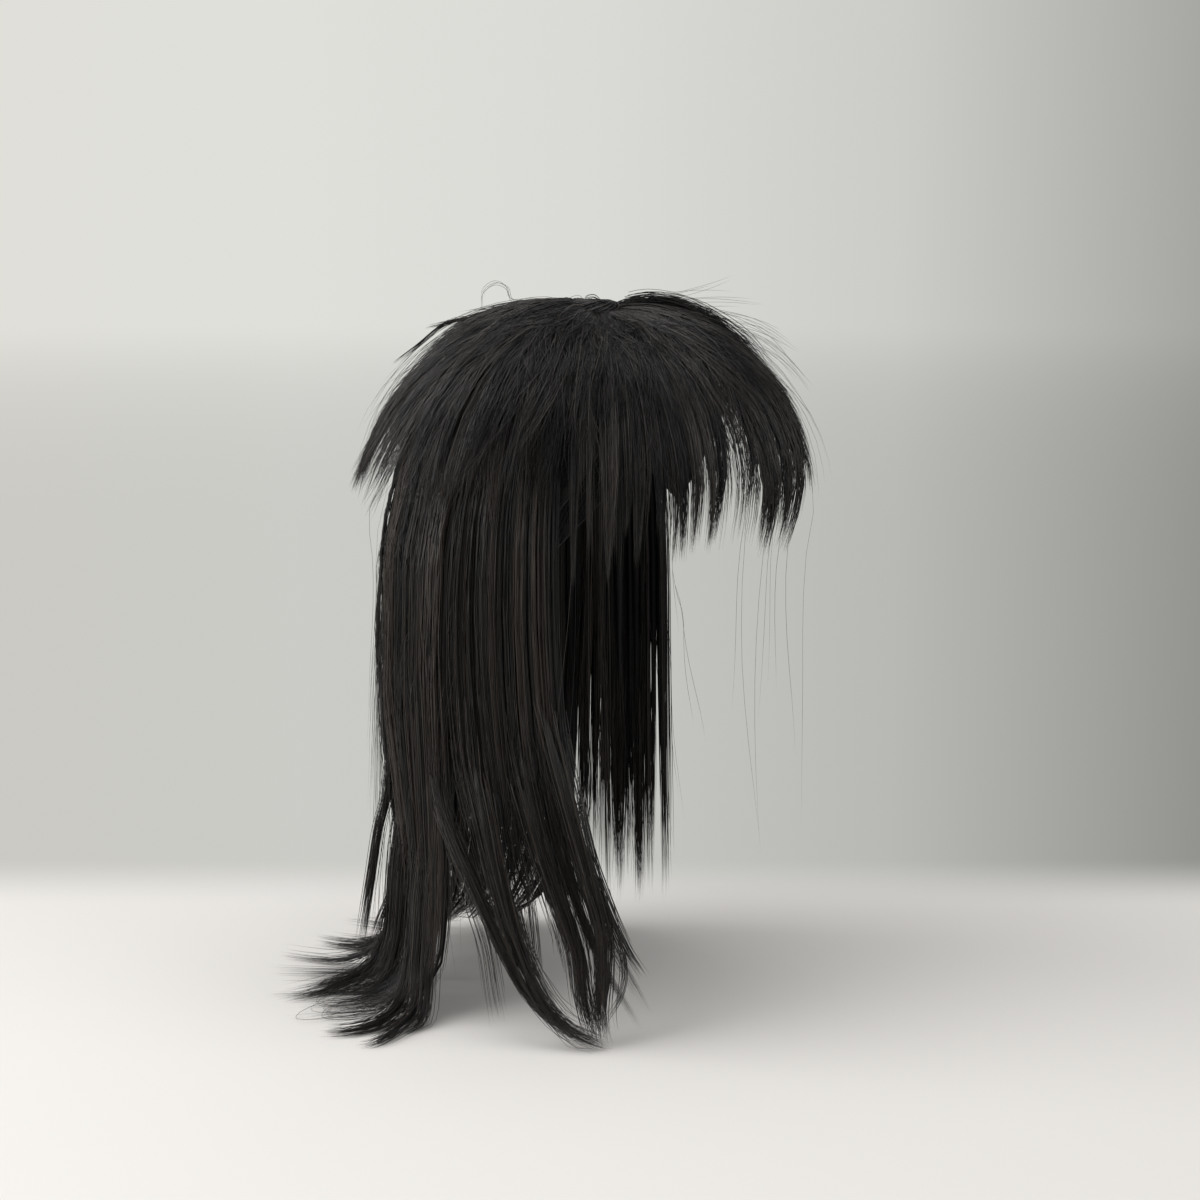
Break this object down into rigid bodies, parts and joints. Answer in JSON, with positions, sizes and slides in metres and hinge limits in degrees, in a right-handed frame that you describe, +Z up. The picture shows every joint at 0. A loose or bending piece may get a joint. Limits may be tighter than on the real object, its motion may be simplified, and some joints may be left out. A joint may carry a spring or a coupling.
{
  "type": "mullet wig",
  "caption": "Straight black mullet wig on a net cap, with a parted fringe, short flared layers over the crown and long sides and tail.",
  "frame": {"origin": "top of the wearer's head, under the cap", "axes": "+Z up, -Y the way the wearer faces, +X to the wearer's left"},
  "size_m": [0.3016, 0.3687, 0.442],
  "materials": {
    "hair": "straight black synthetic hair, semi-matte with a soft sheen",
    "cap_net": "matte black net"
  },
  "bodies": {
    "root": {"wig_cap": "cap_net", "nape_layer": "hair", "long_back": "hair", "long_side_right": "hair", "long_side_left": "hair", "mid_layer": "hair", "crown_layer": "hair", "fringe_right": "hair", "fringe_left": "hair", "top_layer": "hair", "crown_whorl": "hair"}
  },
  "joints": []
}
